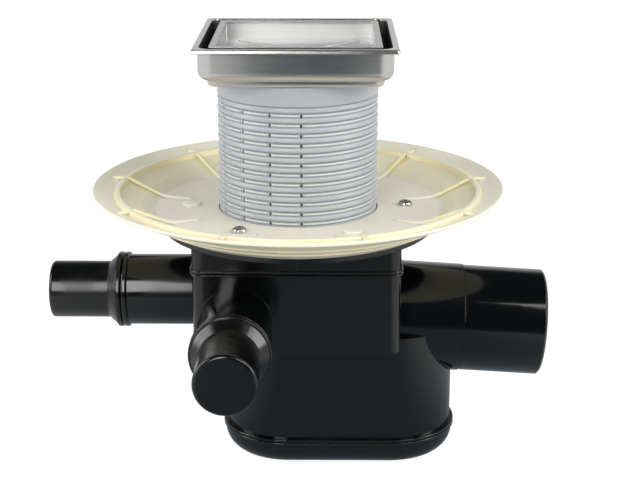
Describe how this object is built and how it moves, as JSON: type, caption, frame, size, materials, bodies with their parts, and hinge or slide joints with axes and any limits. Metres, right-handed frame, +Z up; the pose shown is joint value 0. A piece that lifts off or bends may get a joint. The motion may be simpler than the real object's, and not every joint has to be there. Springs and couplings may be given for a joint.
{
  "type": "floor gully trap",
  "caption": "Floor gully with a water trap, horizontal outlet, closed side inlets, a membrane dish and a height-adjustable riser with a square tile-insert top.",
  "frame": {"origin": "where the vertical axis of the riser meets the plane that the trap's base stands on", "axes": "+Z up along the riser, +X towards the outlet, one side inlet towards -X and the other towards -Y"},
  "size_m": [0.3496, 0.3168, 0.3],
  "materials": {
    "black_plastic": "black polyethylene moulding, satin to glossy",
    "cream_plastic": "cream ABS moulding, slightly translucent",
    "grey_plastic": "light blue-grey plastic, satin",
    "insert_plastic": "dark grey plastic, satin",
    "frame_steel": "pressed stainless sheet, drawn and lightly brushed",
    "tray_steel": "folded stainless sheet, matt floor and brushed rim",
    "screw_steel": "stainless pan-head screw",
    "seal_rubber": "black sealing rubber"
  },
  "bodies": {
    "gully": {"trap_body": "black_plastic", "base_cap": "black_plastic", "body_cover": "black_plastic", "outlet_pipe": "black_plastic", "left_inlet_spigot": "black_plastic", "front_inlet_spigot": "black_plastic", "riser_seal": "seal_rubber", "flange_gasket": "seal_rubber", "membrane_flange": "cream_plastic", "flange_screws": "screw_steel", "trap_insert": "insert_plastic", "insert_seal": "seal_rubber", "hair_strainer": "insert_plastic"},
    "riser": {"riser_tube": "grey_plastic"},
    "frame": {"top_frame": "frame_steel", "frame_socket": "grey_plastic", "socket_seal": "seal_rubber", "tile_tray": "tray_steel", "tray_feet": "insert_plastic"}
  },
  "joints": [
    {"name": "riser_slide", "type": "slide", "parent": "gully", "child": "riser", "axis": [0, 0, 1], "range_m": [-0.04, 0.018]},
    {"name": "frame_turn", "type": "hinge", "parent": "riser", "child": "frame", "pos_m": [0, 0, 0.2739], "axis": [0, 0, 1], "continuous": true}
  ]
}
